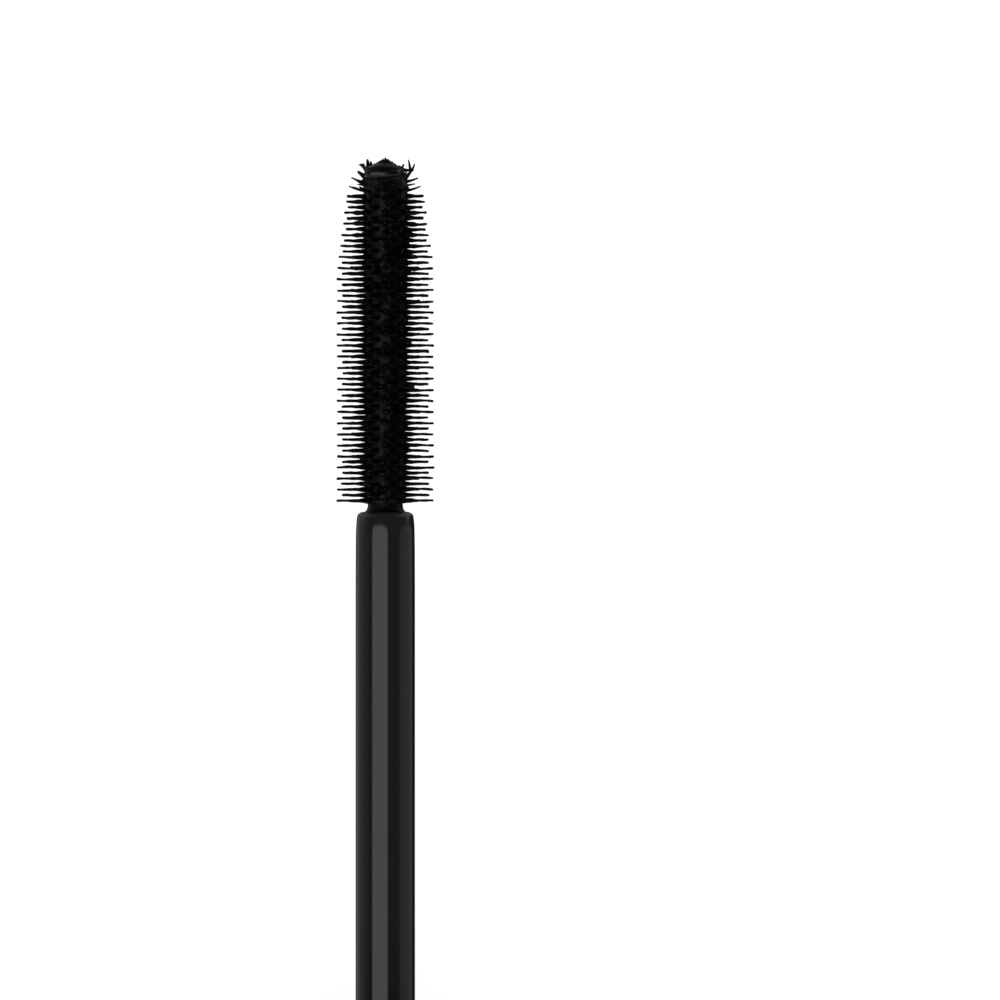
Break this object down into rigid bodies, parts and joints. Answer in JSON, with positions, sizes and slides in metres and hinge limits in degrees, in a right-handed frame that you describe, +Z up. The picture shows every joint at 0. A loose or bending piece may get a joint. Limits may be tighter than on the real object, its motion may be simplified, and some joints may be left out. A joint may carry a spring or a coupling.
{
  "type": "mascara tube",
  "caption": "Mascara drawn open and lying flat: cap with wand and moulded brush, in line with the screw-neck tube that it closes.",
  "frame": {"origin": "middle of the footprint, on the surface that the open mascara lies on", "axes": "+Y along the wand, from the cap to the brush and on to the tube; +Z up; +X to the right of the brush"},
  "size_m": [0.018, 0.209, 0.018],
  "materials": {
    "gloss_black": "gloss",
    "moulded_black": "satin",
    "rod_black": "satin gloss",
    "brush_black": "wet with product",
    "vial_plastic": "natural",
    "wiper_plastic": "soft",
    "product": "wet gloss",
    "weight_steel": "turned",
    "plated_trim": "dark plated",
    "liner_foam": "matt foam",
    "label_paper": "matt"
  },
  "bodies": {
    "tube": {"tube_shell": "gloss_black", "vial": "vial_plastic", "wiper": "wiper_plastic", "product": "product", "base_plug": "gloss_black", "base_label": "label_paper"},
    "collar": {"collar_ring": "plated_trim"},
    "liner": {"cap_liner": "liner_foam"},
    "wand": {"cap_shell": "gloss_black", "cap_weight": "weight_steel", "cap_insert": "moulded_black", "stem": "rod_black", "brush_core": "brush_black", "brush_bristles": "brush_black"}
  },
  "joints": [
    {"name": "cap_turn", "type": "hinge", "parent": "tube", "child": "collar", "pos_m": [0, 0, 0.009], "axis": [0, -1, 0], "range_deg": [-540, 0]},
    {"name": "wand_draw", "type": "slide", "parent": "collar", "child": "liner", "axis": [0, -1, 0], "range_m": [-0.0845, 0], "deforming": ["wiper"]},
    {"name": "thread_lift", "type": "slide", "parent": "liner", "child": "wand", "axis": [0, -1, 0], "range_m": [-0.0045, 0]}
  ],
  "couplings": [
    {"joint": "thread_lift", "follows": "cap_turn", "m_per_rad": 0.00047746}
  ]
}
